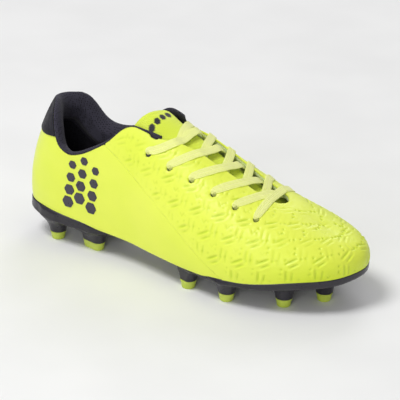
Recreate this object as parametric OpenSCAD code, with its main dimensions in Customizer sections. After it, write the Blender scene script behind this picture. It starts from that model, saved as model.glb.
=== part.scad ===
// Soccer cleat, right shoe. +X is the toe, +Y the inner side, +Z up; the stud tips stand on z = 0.
// The upper is a stack of thin layers over one last shape, cut by the topline and the throat.

/* [Size] */
// Length from the heel to the toe along the feather edge
last_length = 275; // [258:1:292]
// Width of the forefoot across the feather edge
last_width = 90; // [82:1:98]

/* [Layers] */
// Thickness of the outer synthetic skin
skin_t = 1.6; // [1.2:0.1:2]
// Thickness of the foam and stiffeners behind the skin
foam_t = 1.4; // [1:0.1:1.8]
// Thickness of the lining fabric
lining_t = 1.2; // [0.8:0.1:1.4]
// Extra thickness of the padding round the ankle
collar_pad_t = 4; // [2.5:0.5:5]
// Thickness of the padded tongue
tongue_t = 3.6; // [3:0.2:4.2]
// Thickness of the insole board
board_t = 2; // [1.5:0.1:2.4]
// Thickness of the removable sockliner
sockliner_t = 3; // [2.5:0.1:3.5]

/* [Studs] */
// Height of the coloured tip of every stud
tip_h = 6.5; // [5:0.5:8]
// Diameter of a round stud where it meets the ground
tip_d = 10; // [8:0.5:11]
// Diameter of a round stud where its tip ends
tip_top_d = 12.5; // [11.5:0.5:13.5]
// Spread of a heel blade between its two round ends
blade_spread = 9; // [7:0.5:10]

/* [Lacing] */
// Diameter of an eyelet hole
eyelet_d = 4.6; // [4:0.1:5]
// Width of the flat lace
lace_w = 6.8; // [5.5:0.1:7.2]
// Thickness of the flat lace
lace_t = 1.1; // [0.8:0.1:1.3]

/* [Hidden] */
$fn = 32;

// One row per station: feather edge x y z, ridge x y z, wall pull, shoulder pull, bulge,
// ridge slope, depth of the sole wall, inset of the sole wall.
HEEL_ROW = [0, 0, 31, 33, 0, 124, 0.57, 0.57, 3.5, 0.10, 11, 0];
TOE_ROW = [275, 10, 31, 238, 8, 57, 0.72, 0.58, 4, -0.35, 7, 0];
OUTER_ROWS = [
    [  3, -20, 30,  35, -6, 125, 0.42, 0.42, 5,  0.10, 11.5, 0],
    [ 25, -30, 28,  50, -9, 126, 0.80, 0.55, 4,  0.08, 12, 0],
    [ 62, -31, 24,  74, -8, 128, 0.85, 0.60, 5,  0.00, 9, 1],
    [ 98, -33, 22, 100, -2, 123, 0.76, 0.60, 7, -0.35, 4, 8],
    [135, -40, 20, 132,  4, 108, 0.64, 0.60, 8, -0.50, 4, 6],
    [172, -46, 20, 165,  7,  90, 0.62, 0.58, 7, -0.53, 5, 1],
    [207, -45, 22, 195,  8,  75, 0.62, 0.55, 5, -0.48, 6, 0],
    [239, -34, 27, 218,  8,  66, 0.66, 0.54, 4, -0.42, 8, 0],
    [264, -15, 29, 232,  8,  60, 0.70, 0.57, 4, -0.38, 8, 0]
];
INNER_ROWS = [
    [  4,  18, 30,  35,  6, 125, 0.42, 0.42, 5,  0.10, 11.5, 0],
    [ 25,  26, 28,  50,  9, 126, 0.80, 0.55, 4,  0.08, 12, 0],
    [ 62,  27, 25,  74,  8, 128, 0.85, 0.60, 5,  0.00, 9, 1],
    [ 98,  25, 24, 100,  6, 123, 0.76, 0.60, 8, -0.35, 4, 7],
    [135,  28, 23, 132,  8, 108, 0.66, 0.60, 8, -0.50, 4, 6],
    [172,  36, 22, 165,  8,  90, 0.64, 0.60, 6, -0.53, 6, 1],
    [207,  44, 22, 195,  8,  75, 0.64, 0.58, 5, -0.48, 6, 0],
    [240,  44, 26, 218,  8,  66, 0.67, 0.56, 4, -0.42, 8, 0],
    [265,  32, 29, 232,  8,  60, 0.70, 0.57, 4, -0.38, 8, 0]
];
LOOP = concat([HEEL_ROW], OUTER_ROWS, [TOE_ROW], [for (i = [8:-1:0]) INNER_ROWS[i]]);
STATIONS = len(LOOP);
COLUMNS = 2 * STATIONS;
RINGS = 9;
LENGTH_SCALE = last_length / 275;
WIDTH_SCALE = last_width / 90;

// Topline of each side, as x and z from the heel forwards
TOPLINE_OUTER = [
    [-20, 115], [17, 115], [22, 113.5], [26, 109], [29, 102], [32.5, 91.5], [36, 84],
    [42, 80], [48, 79.5],
    [58, 83.5], [70, 90.5], [79, 96.5], [86, 103.5], [91, 108], [97, 110], [103, 109], [117, 105]
];
TOPLINE_INNER = [
    [-20, 115], [18, 115], [23, 113], [28, 107], [32, 100], [38, 90.5], [46, 84], [56, 83],
    [66, 85], [76, 90], [84, 96], [91, 102], [98, 107], [106, 110.5], [112, 110], [117, 108]
];
// Throat between the eyestays, as x and y
THROAT = [
    [112, -22], [117, -21], [140, -12], [160, -8.5], [204, -3], [210, 1], [212, 6], [210, 11],
    [204, 15], [160, 17], [140, 18.5], [117, 22], [112, 23]
];
// Seam between the textured vamp and the smooth quarters: a straight line in side view
SEAM_TOP = [78, 92];
SEAM_SLOPE = -0.647;

// Lacing: six eyelets a side, at even stations
EYELET_ROWS = 6;
EYELET_T0 = 4.44;
EYELET_STEP = 0.518;
EYELET_S = [0.50, 0.53, 0.57, 0.59, 0.60, 0.60];
FLAP_S = [0.66, 0.74, 0.80, 0.82, 0.84, 0.88];

FOAM_OFF = -skin_t;
LINING_OFF = FOAM_OFF - foam_t;
CAVITY_OFF = LINING_OFF - lining_t;
PAD_OFF = LINING_OFF - collar_pad_t;
PAD_CAVITY_OFF = PAD_OFF - lining_t;
TONGUE_OFF = CAVITY_OFF - 1.8;
TONGUE_FOAM_OFF = TONGUE_OFF - 0.8;
TONGUE_LINING_OFF = TONGUE_OFF - tongue_t + 0.8;
TONGUE_CAVITY_OFF = TONGUE_OFF - tongue_t;
PAD_BAND = 22;
BODY_GAP = 0.5;
RIDGE_S = 0.985;
CENTRE = [137.3 * LENGTH_SCALE, -0.8 * WIDTH_SCALE, 0];
DROP = 8;

// ---- surface of the last ----
function unit(v) = v / norm(v);
function wrap(i) = (i % STATIONS + STATIONS) % STATIONS;
function row(t) =
    let (i = floor(t), f = t - i)
    let (a = LOOP[wrap(i - 1)], b = LOOP[wrap(i)], c = LOOP[wrap(i + 1)], d = LOOP[wrap(i + 2)])
    let (r = 0.5 * (2 * b + (c - a) * f + (2 * a - 5 * b + 4 * c - d) * f * f
        + (3 * b - a - 3 * c + d) * f * f * f))
    [for (k = [0:11]) r[k] * (k == 0 || k == 3 ? LENGTH_SCALE : k == 1 || k == 4 ? WIDTH_SCALE : 1)];
function outward(t) = let (d = row(t + 0.01) - row(t - 0.01)) unit([d[1], -d[0], 0]);
function feather(t, off) = let (r = row(t)) [r[0], r[1], r[2]] + outward(t) * off;
function wall(t, s, off) =
    let (r = row(t), n = outward(t))
    let (b = feather(t, off), top = [r[3], r[4], r[5] + off], h = top[2] - b[2])
    let (c1 = b + n * r[8] + [0, 0, h * r[6]])
    let (px = (b[0] - top[0]) * r[7], py = (b[1] - top[1]) * r[7])
    let (c2 = top + [px, py, px * r[9]], q = 1 - s)
    q * q * q * b + 3 * q * q * s * c1 + 3 * q * s * s * c2 + s * s * s * top;
function wall_normal(t, s) =
    let (u = wall(t + 0.05, s, 0) - wall(t - 0.05, s, 0), v = wall(t, s + 0.02, 0) - wall(t, s - 0.02, 0))
    unit(cross(u, v));

// A stack of rings, closed at both ends by strips between the outer and inner side
module ring_solid(rings) {
    n = COLUMNS;
    half = n / 2;
    last = len(rings) - 1;
    sides = [for (k = [0:last - 1], j = [0:n - 1]) let (a = k * n + j, b = k * n + (j + 1) % n)
        each [[a, a + n, b], [b, a + n, b + n]]];
    lids = [for (k = [0, last], j = [0:half - 1])
        let (a = k * n + j, b = k * n + j + 1, c = k * n + (n - j) % n, d = k * n + n - j - 1)
        each (k == 0
            ? [if (j > 0) [a, b, c], if (j < half - 1) [b, d, c]]
            : [if (j > 0) [a, c, b], if (j < half - 1) [b, c, d]])];
    polyhedron([for (r = rings) each r], concat(sides, lids));
}
function station(j) = j * STATIONS / COLUMNS;
function wall_ring(s, off, dz) = [for (j = [0:COLUMNS - 1]) wall(station(j), s, off) + [0, 0, dz]];
module last_solid(off, drop = 0) {
    ring_solid(concat(
        drop > 0 ? [wall_ring(0, off, -drop)] : [],
        [for (k = [0:RINGS]) wall_ring(RIDGE_S * k / RINGS, off, 0)]));
}
module layer(outer_off, inner_off) {
    difference() {
        last_solid(outer_off);
        last_solid(inner_off, DROP);
    }
}
module slab(off, z0, z1) {
    ring_solid([for (z = [z0, z1])
        [for (j = [0:COLUMNS - 1]) feather(station(j), off) + [0, 0, z]]]);
}

// ---- cutters ----
module side_prism(outline, y0, y1) {
    translate([0, y1, 0])
        rotate([90, 0, 0])
            linear_extrude(y1 - y0) polygon([for (p = outline) [p[0] * LENGTH_SCALE, p[1]]]);
}
module top_prism(outline) {
    translate([0, 0, -10])
        linear_extrude(190)
            polygon([for (p = outline) [p[0] * LENGTH_SCALE, p[1] * WIDTH_SCALE]]);
}
module above(topline, lower = 0) {
    points = [for (p = topline) p - [0, lower]];
    side_prism(concat(points, [[118, 190], [-20, 190]]), 0, 90);
}
// Everything above the topline, on both sides
module opening(lower = 0) {
    mirror([0, 1, 0]) above(TOPLINE_OUTER, lower);
    above(TOPLINE_INNER, lower);
}
module throat() {
    top_prism(THROAT);
}
module behind_seam(shift = 0) {
    x0 = SEAM_TOP[0] + shift;
    side_prism([
        [x0 - 30, SEAM_TOP[1] - 30 * SEAM_SLOPE], [x0 + 122, SEAM_TOP[1] + 122 * SEAM_SLOPE],
        [-30, SEAM_TOP[1] + 122 * SEAM_SLOPE], [-30, SEAM_TOP[1] - 30 * SEAM_SLOPE]
    ], -90, 90);
    side_prism([[-30, 200], [-30, 100], [x0 - 29, 100], [x0 - 29, 200]], -90, 90);
}
module half_space(outer) {
    translate([-50, outer ? -90 : 0, -10]) cube([400, 90, 200]);
}
module eyelet_holes(outer) {
    for (k = [0:EYELET_ROWS - 1]) {
        t = outer ? eyelet_t(k) : STATIONS - eyelet_t(k);
        n = wall_normal(t, EYELET_S[k]);
        p = wall(t, EYELET_S[k], 0);
        translate(p)
            rotate([0, acos(n[2]), atan2(n[1], n[0])])
                translate([0, 0, -8]) cylinder(h = 12, d = eyelet_d, $fn = 10);
    }
}
function eyelet_t(k) = EYELET_T0 + EYELET_STEP * k;
module placed() {
    translate(-CENTRE) children();
}

// ---- sole ----
STUD_FLARE = 9.5;
// Studs as [x, y, blade angle or undef, height of the plate's underside there]
STUDS = [
    [26.8, -20, undef, 18], [59.4, -18.9, 78, 17], [27.5, 17, undef, 18], [60, 15.5, -78, 17],
    [154, -34.7, undef, 17], [187.7, -36.5, undef, 18], [160, 27, undef, 18], [192, 36, undef, 18],
    [183, 0, undef, 18], [226.7, -21, undef, 19], [224, 32, undef, 19], [247, 3, undef, 22]
];
function stud_at(i) = [STUDS[i][0] * LENGTH_SCALE, STUDS[i][1] * WIDTH_SCALE, 0];
// Round studs are cones; heel blades are two cones with a tapered web between
module stud_shape(i, z0, z1, d0, d1) {
    blade = STUDS[i][2];
    translate(stud_at(i) + [0, 0, z0]) {
        if (blade == undef) {
            cylinder(h = z1 - z0, d1 = d0, d2 = d1);
        } else {
            rotate([0, 0, blade - 90])
                hull() {
                    for (e = [-1, 1])
                        translate([e * blade_spread / 2, 0, 0])
                            cylinder(h = z1 - z0, d1 = d0 * 0.85, d2 = d1 * 0.85, $fn = 24);
                }
        }
    }
}
module sole_ring_solid() {
    ring_solid([for (q = [[-4.5, 1], [-0.8, 0.75], [0.4, 0.3], [0, 0]])
        [for (j = [0:COLUMNS - 1])
            let (t = station(j), r = row(t))
            feather(t, q[0] - r[11]) - [0, 0, q[1] * r[10]]]]);
}
module outsole_plate() {
    color("#423c4a") placed() {
        sole_ring_solid();
        for (i = [0:len(STUDS) - 1])
            stud_shape(i, tip_h, STUDS[i][3], tip_top_d + 0.5, 2 * STUD_FLARE);
    }
}
module stud_tip(i) {
    color("#b9ce46") placed() stud_shape(i, 0, tip_h, tip_d, tip_top_d);
}
module insole_board() {
    color("#c9c3b4") placed() slab(CAVITY_OFF - 0.3, BODY_GAP, board_t + BODY_GAP);
}
SOCKLINER_Z = board_t + 2 * BODY_GAP;
module sockliner() {
    color("#2b2a30") placed() slab(CAVITY_OFF - 1.2, SOCKLINER_Z, SOCKLINER_Z + sockliner_t);
}

// ---- outer skin ----
module skin() {
    difference() {
        layer(0, FOAM_OFF);
        opening();
        throat();
    }
}
module vamp() {
    color("#e6f45a") placed() difference() {
        skin();
        behind_seam();
        eyelet_holes(true);
        eyelet_holes(false);
    }
}
module quarter(outer) {
    intersection() {
        skin();
        behind_seam();
        half_space(outer);
    }
}
module quarter_outer() {
    color("#ebf765") placed() quarter(true);
}
module quarter_inner() {
    color("#ebf765") placed() quarter(false);
}
// Black patch over the back of the heel, up to the topline
PATCH = [[-20, 86], [8, 86.5], [20, 87], [32, 88.5], [44, 89], [44, 118], [-20, 118]];
PATCH_T = 0.7;
module heel_patch() {
    color("#36353d") placed() intersection() {
        difference() {
            layer(PATCH_T, 0);
            opening();
        }
        side_prism(PATCH, -90, 90);
    }
}
// Plain printed film: a staggered field of hexagons that shrink towards the top
FILM_T = 0.3;
FILM_COLUMNS = 3;
FILM_ROWS = 4;
FILM_PITCH = 10.5;
FILM_ORIGIN = [44, 39];
module film_outline() {
    for (i = [0:FILM_COLUMNS - 1], j = [0:FILM_ROWS - 1]) {
        x = FILM_ORIGIN[0] + FILM_PITCH * i + 1.5 * j;
        z = FILM_ORIGIN[1] + FILM_PITCH * (j + (i % 2 == 0 ? 0 : 0.5));
        translate([x * LENGTH_SCALE, 90, z])
            rotate([90, 0, 0]) cylinder(h = 180, d = 10.4 - 1.1 * j, $fn = 6);
    }
}
module side_film(outer) {
    intersection() {
        layer(FILM_T, 0);
        film_outline();
        half_space(outer);
    }
}
module side_film_outer() {
    color("#3b3546") placed() side_film(true);
}
module side_film_inner() {
    color("#3b3546") placed() side_film(false);
}

// ---- stiffeners and foam behind the skin ----
module middle() {
    difference() {
        layer(FOAM_OFF, LINING_OFF);
        opening();
        throat();
    }
}
TOE_PUFF_X = 236;
COUNTER_X = 72;
module toe_zone() {
    translate([TOE_PUFF_X * LENGTH_SCALE, -90, 0]) cube([100, 180, 200]);
}
module counter_zone() {
    translate([-30, -90, 0]) cube([30 + COUNTER_X * LENGTH_SCALE, 180, 130]);
}
EYESTAY_EDGE = [[119, -60], [119, -36], [212, -33], [222, 6], [212, 38], [119, 40], [119, 60],
    [90, 60], [90, -60]];
module eyestay_zone() {
    difference() {
        top_prism(EYESTAY_EDGE);
        behind_seam(10);
        translate([-30, -90, 0]) cube([400, 180, 58]);
    }
}
module collar_zone() {
    intersection() {
        opening(PAD_BAND);
        behind_seam();
    }
}
module toe_puff() {
    color("#d8d4c6") placed() intersection() {
        middle();
        toe_zone();
    }
}
module upper_foam() {
    color("#efe9b0") placed() difference() {
        middle();
        toe_zone();
        counter_zone();
        eyestay_zone();
        collar_zone();
    }
}
module eyestay(outer) {
    difference() {
        intersection() {
            middle();
            eyestay_zone();
            half_space(outer);
        }
        eyelet_holes(outer);
        toe_zone();
    }
}
module eyestay_outer() {
    color("#c8d39a") placed() eyestay(true);
}
module eyestay_inner() {
    color("#c8d39a") placed() eyestay(false);
}
module heel_counter() {
    color("#d8d4c6") placed() difference() {
        intersection() {
            middle();
            counter_zone();
        }
        collar_zone();
    }
}
module collar_foam() {
    color("#55525c") placed() difference() {
        intersection() {
            layer(FOAM_OFF, PAD_OFF);
            collar_zone();
        }
        opening();
        throat();
    }
}

// ---- lining ----
module vamp_lining() {
    color("#c4cf81") placed() difference() {
        layer(LINING_OFF, CAVITY_OFF);
        opening();
        throat();
        behind_seam();
        eyelet_holes(true);
        eyelet_holes(false);
    }
}
module heel_lining() {
    color("#232228") placed() difference() {
        intersection() {
            layer(LINING_OFF, CAVITY_OFF);
            behind_seam();
        }
        opening(PAD_BAND);
    }
}
module collar_lining() {
    color("#28272f") placed() difference() {
        intersection() {
            layer(PAD_OFF, PAD_CAVITY_OFF);
            collar_zone();
        }
        opening();
        throat();
    }
}

// ---- tongue ----
// Lower edge of the tongue's two parts in side view, as x and z
TONGUE_SIDE = [[90, 96], [117, 96], [117, 86], [235, 44], [235, 150], [90, 150]];
TONGUE = [
    [226, 6], [222, 18], [205, 24], [160, 26], [130, 25], [119, 21], [117.2, 17],
    [117.2, -16], [119, -20], [130, -22], [160, -18], [205, -12], [222, -6]
];
TONGUE_TOP = [
    [116.8, 12], [107, 13], [100, 12], [97, 8.5], [96.5, 0], [97.5, -8.5], [101, -13], [108, -13.5],
    [116.8, -12.5]
];
module tongue_layer(outline, outer_off, inner_off) {
    intersection() {
        layer(outer_off, inner_off);
        top_prism(outline);
        side_prism(TONGUE_SIDE, -90, 90);
    }
}
module tongue_face() {
    color("#e3f05c") placed() tongue_layer(TONGUE, TONGUE_OFF, TONGUE_FOAM_OFF);
}
module tongue_foam() {
    color("#efe9b0") placed() tongue_layer(TONGUE, TONGUE_FOAM_OFF, TONGUE_LINING_OFF);
}
module tongue_lining() {
    color("#28272f") placed() tongue_layer(TONGUE, TONGUE_LINING_OFF, TONGUE_CAVITY_OFF);
}
module tongue_top_face() {
    color("#e3f05c") placed() tongue_layer(TONGUE_TOP, TONGUE_OFF, TONGUE_FOAM_OFF);
}
module tongue_top_foam() {
    color("#efe9b0") placed() tongue_layer(TONGUE_TOP, TONGUE_FOAM_OFF, TONGUE_LINING_OFF);
}
module tongue_top_lining() {
    color("#28272f") placed() tongue_layer(TONGUE_TOP, TONGUE_LINING_OFF, TONGUE_CAVITY_OFF);
}

// ---- lace ----
LACE_UNDER = CAVITY_OFF - 0.9;
LACE_OVER = 0.75;
LACE_STEPS = 2;
INSTEP_AXIS = [0.88, 0, -0.47];
INSTEP_CENTRE = [132, 4, 66];
function side_t(outer, t) = outer ? t : STATIONS - t;
function instep_normal(p) =
    let (v = p - INSTEP_CENTRE)
    unit(v - INSTEP_AXIS * (v * INSTEP_AXIS));
function curve(p, t) =
    let (n = len(p) - 1, i = min(floor(t), n - 1), f = t - i)
    let (a = p[max(i - 1, 0)], b = p[i], c = p[i + 1], d = p[min(i + 2, n)])
    0.5 * (2 * b + (c - a) * f + (2 * a - 5 * b + 4 * c - d) * f * f
        + (3 * b - a - 3 * c + d) * f * f * f);
// A flat ribbon along points, narrow where widths say so
module ribbon(points, widths) {
    n = len(points) - 1;
    steps = n * LACE_STEPS;
    rings = [for (k = [0:steps])
        let (t = k / LACE_STEPS, p = curve(points, t))
        let (along = unit(curve(points, min(t + 0.1, n)) - curve(points, max(t - 0.1, 0))))
        let (up0 = instep_normal(p), side = unit(cross(along, up0)), up = cross(side, along))
        let (w = curve(widths, t)[0] / 2, h = lace_t / 2)
        each [p + side * w + up * h, p - side * w + up * h, p - side * w - up * h, p + side * w - up * h]];
    walls = [for (k = [0:steps - 1], j = [0:3]) let (a = 4 * k + j, b = 4 * k + (j + 1) % 4)
        each [[a, b, a + 4], [b, b + 4, a + 4]]];
    e = 4 * steps;
    polyhedron(rings, concat(walls, [[0, 2, 1], [0, 3, 2], [e, e + 1, e + 2], [e, e + 2, e + 3]]));
}
// One crossing: from under the flap at row k + 1 on one side, over the other flap, into row k
module strand(k, to_outer, lift) {
    a = side_t(!to_outer, eyelet_t(k + 1));
    b = side_t(to_outer, eyelet_t(k));
    a_in = side_t(!to_outer, eyelet_t(k + 0.9));
    b_in = side_t(to_outer, eyelet_t(k + 0.42));
    edge_a = wall(a_in, FLAP_S[k + 1] + 0.03, LACE_UNDER);
    edge_b = wall(b_in, FLAP_S[k], LACE_OVER);
    mid = (edge_a + edge_b) / 2;
    ribbon([
        wall(a, EYELET_S[k + 1], LACE_UNDER), wall(a_in, (EYELET_S[k + 1] + FLAP_S[k + 1]) / 2, LACE_UNDER),
        edge_a, mid + instep_normal(mid) * (1.6 + lift), edge_b,
        wall(b, EYELET_S[k] + 0.04, LACE_OVER), wall(b, EYELET_S[k], -1), wall(b, EYELET_S[k], LACE_UNDER)
    ], [for (w = [0.5, 0.9, 1, 1, 1, 0.85, 0.5, 0.5]) [w * lace_w]]);
}
LAST_ROW = EYELET_ROWS - 1;
module bottom_bar() {
    t = eyelet_t(LAST_ROW);
    s = EYELET_S[LAST_ROW];
    ribbon([
        wall(t, s, LACE_UNDER), wall(t, s, -1), wall(t, s + 0.04, LACE_OVER), wall(t, FLAP_S[LAST_ROW], LACE_OVER),
        wall(side_t(false, t), FLAP_S[LAST_ROW], LACE_OVER), wall(side_t(false, t), s + 0.04, LACE_OVER),
        wall(side_t(false, t), s, -1), wall(side_t(false, t), s, LACE_UNDER)
    ], [for (w = [0.5, 0.5, 0.85, 1, 1, 0.85, 0.5, 0.5]) [w * lace_w]]);
}
// The end of the lace, tucked between the flap and the tongue
TAIL_STATIONS = 2.2;
module tail(outer) {
    ribbon([for (f = [0:0.2:1])
        wall(side_t(outer, eyelet_t(0) + TAIL_STATIONS * f), EYELET_S[0] + 0.06 * f, LACE_UNDER)],
        [for (f = [0:5]) [lace_w * (f == 0 || f == 5 ? 0.5 : 0.7)]]);
}
module lace() {
    color("#f1f9a4") placed() {
        bottom_bar();
        for (k = [0:LAST_ROW - 1]) {
            strand(k, true, 1.2);
            strand(k, false, 0);
        }
        tail(true);
        tail(false);
    }
}
AGLET_D = 1.6;
AGLET_L = 16;
module aglet(outer) {
    t = eyelet_t(0) + TAIL_STATIONS;
    p = wall(side_t(outer, t), EYELET_S[0] + 0.06, LACE_UNDER);
    q = wall(side_t(outer, t + 0.4), EYELET_S[0] + 0.07, LACE_UNDER);
    d = unit(q - p);
    translate(p)
        rotate([0, acos(d[2]), atan2(d[1], d[0])])
            cylinder(h = AGLET_L, d = AGLET_D, $fn = 16);
}
module aglets() {
    color("#dfe7b4") placed() {
        aglet(true);
        aglet(false);
    }
}

outsole_plate();
stud_tip(0);  // stud_tip_heel_outer_rear
stud_tip(1);  // stud_tip_heel_outer_front
stud_tip(2);  // stud_tip_heel_inner_rear
stud_tip(3);  // stud_tip_heel_inner_front
stud_tip(4);  // stud_tip_ball_outer_rear
stud_tip(5);  // stud_tip_ball_outer_front
stud_tip(6);  // stud_tip_ball_inner_rear
stud_tip(7);  // stud_tip_ball_inner_front
stud_tip(8);  // stud_tip_ball_centre
stud_tip(9);  // stud_tip_toe_outer
stud_tip(10);  // stud_tip_toe_inner
stud_tip(11);  // stud_tip_toe_front
insole_board();
sockliner();
vamp();
quarter_outer();
quarter_inner();
heel_patch();
side_film_outer();
side_film_inner();
toe_puff();
upper_foam();
eyestay_outer();
eyestay_inner();
heel_counter();
collar_foam();
vamp_lining();
heel_lining();
collar_lining();
tongue_face();
tongue_foam();
tongue_lining();
tongue_top_face();
tongue_top_foam();
tongue_top_lining();
lace();
aglets();
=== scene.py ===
"""Soccer cleat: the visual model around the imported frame. Lengths are in millimetres until
a mesh is made; x runs from the heel (0) to the toe, -y is the outer side, z is up."""
import itertools
import math

import bmesh
import bpy
import numpy as np
from mathutils import Matrix, Vector


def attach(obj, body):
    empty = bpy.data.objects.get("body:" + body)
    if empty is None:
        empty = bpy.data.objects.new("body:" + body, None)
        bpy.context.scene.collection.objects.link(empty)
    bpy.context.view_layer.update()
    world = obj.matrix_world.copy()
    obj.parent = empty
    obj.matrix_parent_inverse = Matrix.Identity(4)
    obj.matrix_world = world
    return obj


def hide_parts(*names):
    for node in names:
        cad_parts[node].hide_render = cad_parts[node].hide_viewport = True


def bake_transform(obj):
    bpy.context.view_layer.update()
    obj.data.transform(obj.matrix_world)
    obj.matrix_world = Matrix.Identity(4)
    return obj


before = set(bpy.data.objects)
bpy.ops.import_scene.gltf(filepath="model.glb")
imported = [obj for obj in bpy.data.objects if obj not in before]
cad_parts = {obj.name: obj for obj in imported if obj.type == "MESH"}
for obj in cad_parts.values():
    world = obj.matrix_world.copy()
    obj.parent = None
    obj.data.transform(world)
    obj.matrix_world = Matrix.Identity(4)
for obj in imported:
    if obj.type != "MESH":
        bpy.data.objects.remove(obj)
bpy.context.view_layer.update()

MM = 0.001
CENTRE = np.array([137.3, -0.8, 0.0])

# ---------------------------------------------------------------- surface of the last
# Each row: feather edge x y z, ridge x y z, wall pull, shoulder pull, bulge, ridge slope,
# sole depth, sole inset. Stations run from the heel round the outer side to the toe and back.
HEEL_ROW = [0, 0, 31, 33, 0, 124, 0.57, 0.57, 3.5, 0.10, 11, 0]
TOE_ROW = [275, 10, 31, 238, 8, 57, 0.72, 0.58, 4, -0.35, 7, 0]
OUTER_ROWS = [
    [3, -20, 30, 35, -6, 125, 0.42, 0.42, 5, 0.10, 11.5, 0],
    [25, -30, 28, 50, -9, 126, 0.80, 0.55, 4, 0.08, 12, 0],
    [62, -31, 24, 74, -8, 128, 0.85, 0.60, 5, 0.00, 9, 1],
    [98, -33, 22, 100, -2, 123, 0.76, 0.60, 7, -0.35, 4, 8],
    [135, -40, 20, 132, 4, 108, 0.64, 0.60, 8, -0.50, 4, 6],
    [172, -46, 20, 165, 7, 90, 0.62, 0.58, 7, -0.53, 5, 1],
    [207, -45, 22, 195, 8, 75, 0.62, 0.55, 5, -0.48, 6, 0],
    [239, -34, 27, 218, 8, 66, 0.66, 0.54, 4, -0.42, 8, 0],
    [264, -15, 29, 232, 8, 60, 0.70, 0.57, 4, -0.38, 8, 0],
]
INNER_ROWS = [
    [4, 18, 30, 35, 6, 125, 0.42, 0.42, 5, 0.10, 11.5, 0],
    [25, 26, 28, 50, 9, 126, 0.80, 0.55, 4, 0.08, 12, 0],
    [62, 27, 25, 74, 8, 128, 0.85, 0.60, 5, 0.00, 9, 1],
    [98, 25, 24, 100, 6, 123, 0.76, 0.60, 8, -0.35, 4, 7],
    [135, 28, 23, 132, 8, 108, 0.66, 0.60, 8, -0.50, 4, 6],
    [172, 36, 22, 165, 8, 90, 0.64, 0.60, 6, -0.53, 6, 1],
    [207, 44, 22, 195, 8, 75, 0.64, 0.58, 5, -0.48, 6, 0],
    [240, 44, 26, 218, 8, 66, 0.67, 0.56, 4, -0.42, 8, 0],
    [265, 32, 29, 232, 8, 60, 0.70, 0.57, 4, -0.38, 8, 0],
]
LOOP = np.array([HEEL_ROW] + OUTER_ROWS + [TOE_ROW] + INNER_ROWS[::-1], float)
STATIONS = len(LOOP)
TOE_STATION = STATIONS // 2
TOPLINE_OUTER = [(-20, 109.8), (14, 109.8), (19, 109.3), (23.5, 107), (27, 101), (31, 90), (35, 82.5),
                 (42, 78.5), (48, 78.3), (58, 82), (70, 89.5), (79, 96), (86, 103.5), (91, 108),
                 (97, 110), (103, 109), (117, 105)]
TOPLINE_INNER = [(-20, 107.4), (18, 107.4), (25, 105.2), (30, 99.5), (38, 89), (46, 84), (56, 83),
                 (66, 85), (76, 90), (84, 97), (91, 104), (98, 109.5), (106, 112.5), (112, 112),
                 (117, 110)]
THROAT = [(112, -22), (117, -21), (140, -12), (160, -8.5), (185, -5.5), (204, -3), (210, 1),
          (212, 6), (210, 11), (204, 15), (185, 16), (160, 17), (140, 18.5), (117, 22), (112, 23)]
SEAM_TOP = (78, 92)
SEAM_SLOPE = -0.647


def spline(a, b, c, d, f):
    """Catmull-Rom value at share f of the way from b to c."""
    return 0.5 * (2 * b + (c - a) * f + (2 * a - 5 * b + 4 * c - d) * f * f
                  + (3 * b - a - 3 * c + d) * f ** 3)


def catmull(points, per):
    """Points along a smooth open curve through the given points."""
    p = np.array(points, float)
    p = np.vstack([2 * p[0] - p[1], p, 2 * p[-1] - p[-2]])
    f = np.linspace(0, 1, per, endpoint=False)[:, None]
    out = [spline(*p[i - 1:i + 3], f) for i in range(1, len(p) - 2)]
    return np.vstack(out + [p[-2][None]])


def norm(v):
    return np.linalg.norm(v, axis=-1, keepdims=True)


def unit(v):
    return v / np.maximum(norm(v), 1e-9)


def smoothstep(w):
    w = np.clip(w, 0, 1)
    return w * w * (3 - 2 * w)


def row(t):
    """The section row at any station, between the given rows."""
    t = np.asarray(t, float)
    i = np.floor(t).astype(int)
    return spline(*(LOOP[(i + k) % STATIONS] for k in (-1, 0, 1, 2)), (t - i)[..., None])


def outward(t):
    """The direction square to the feather line in plan."""
    d = row(np.asarray(t) + 0.01) - row(np.asarray(t) - 0.01)
    return unit(np.stack([d[..., 1], -d[..., 0], 0 * d[..., 0]], -1))


def feather(t, off):
    return row(t)[..., :3] + outward(t) * np.asarray(off)[..., None]


def spread(*values):
    return np.broadcast_arrays(*(np.asarray(v, float) for v in values))


def wall(t, s, off=0.0):
    """The last's surface: station t, share s of the way from the feather edge to the ridge."""
    t, s, off = spread(t, s, off)
    r, n = row(t), outward(t)
    b = r[..., :3] + n * off[..., None]
    top = r[..., 3:6].copy()
    top[..., 2] += off
    h = top[..., 2] - b[..., 2]
    c1 = b + n * r[..., 8:9]
    c1[..., 2] += h * r[..., 6]
    pull = (b - top)[..., :2] * r[..., 7:8]
    c2 = top.copy()
    c2[..., :2] += pull
    c2[..., 2] += pull[..., 0] * r[..., 9]
    s = s[..., None]
    q = 1 - s
    return q ** 3 * b + 3 * q * q * s * c1 + 3 * q * s * s * c2 + s ** 3 * top


def wall_normal(t, s, off=0.0):
    u = wall(t + 0.02, s, off) - wall(t - 0.02, s, off)
    v = wall(t, s + 0.01, off) - wall(t, s - 0.01, off)
    return unit(np.cross(u, v))


# ---------------------------------------------------------------- fields that trim the surface
LINE_OUTER = catmull(TOPLINE_OUTER, 4)
LINE_INNER = catmull(TOPLINE_INNER, 4)
THROAT_LINE = catmull(THROAT, 4)


def inner_share(p):
    """0 on the outer side, 1 on the inner side, with a smooth change across the heel."""
    reach = np.interp(p[..., 0], [42, 60], [24, 6])
    return smoothstep((p[..., 1] / reach + 1) / 2)


def topline_gap(p):
    """How far a point lies below the topline of its side; there is none past the throat."""
    x, z = p[..., 0], p[..., 2]
    outer, inner = (np.interp(x, *np.vstack([line, [119, 190]]).T) for line in (LINE_OUTER, LINE_INNER))
    w = inner_share(p)
    return outer * (1 - w) + inner * w - z


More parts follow.
